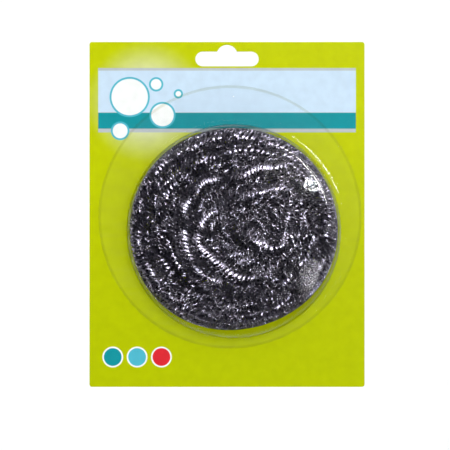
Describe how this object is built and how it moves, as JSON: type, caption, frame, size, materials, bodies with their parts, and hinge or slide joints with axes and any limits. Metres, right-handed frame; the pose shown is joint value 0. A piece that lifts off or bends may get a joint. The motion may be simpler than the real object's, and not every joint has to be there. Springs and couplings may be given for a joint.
{
  "type": "pot scrubber",
  "caption": "Round stainless-steel pot scrubber of wound, curled ribbon strands, loose in a clear blister on a printed hang card with a peg slot.",
  "frame": {"origin": "middle of the card's back face, on which the pack lies", "axes": "+X to the right of the printed face, +Y to the end with the peg slot, +Z out of the printed face through the dome"},
  "size_m": [0.13, 0.163, 0.0321],
  "materials": {
    "card": "satin",
    "clear_sheet": "gloss",
    "steel_ribbon": "polished"
  },
  "bodies": {
    "pack": {"backing_card": "card", "blister": "clear_sheet"},
    "scrubber": {"back_strand_1": "steel_ribbon", "back_strand_2": "steel_ribbon", "lower_strand_1": "steel_ribbon", "lower_strand_2": "steel_ribbon", "upper_strand_1": "steel_ribbon", "upper_strand_2": "steel_ribbon", "front_strand_1": "steel_ribbon", "front_strand_2": "steel_ribbon", "face_strand": "steel_ribbon", "rim_strand": "steel_ribbon"}
  },
  "joints": [
    {"name": "scrubber_turn", "type": "hinge", "parent": "pack", "child": "scrubber", "pos_m": [0.0031, -0.0073, 0.0155], "axis": [0, 0, 1], "continuous": true}
  ]
}
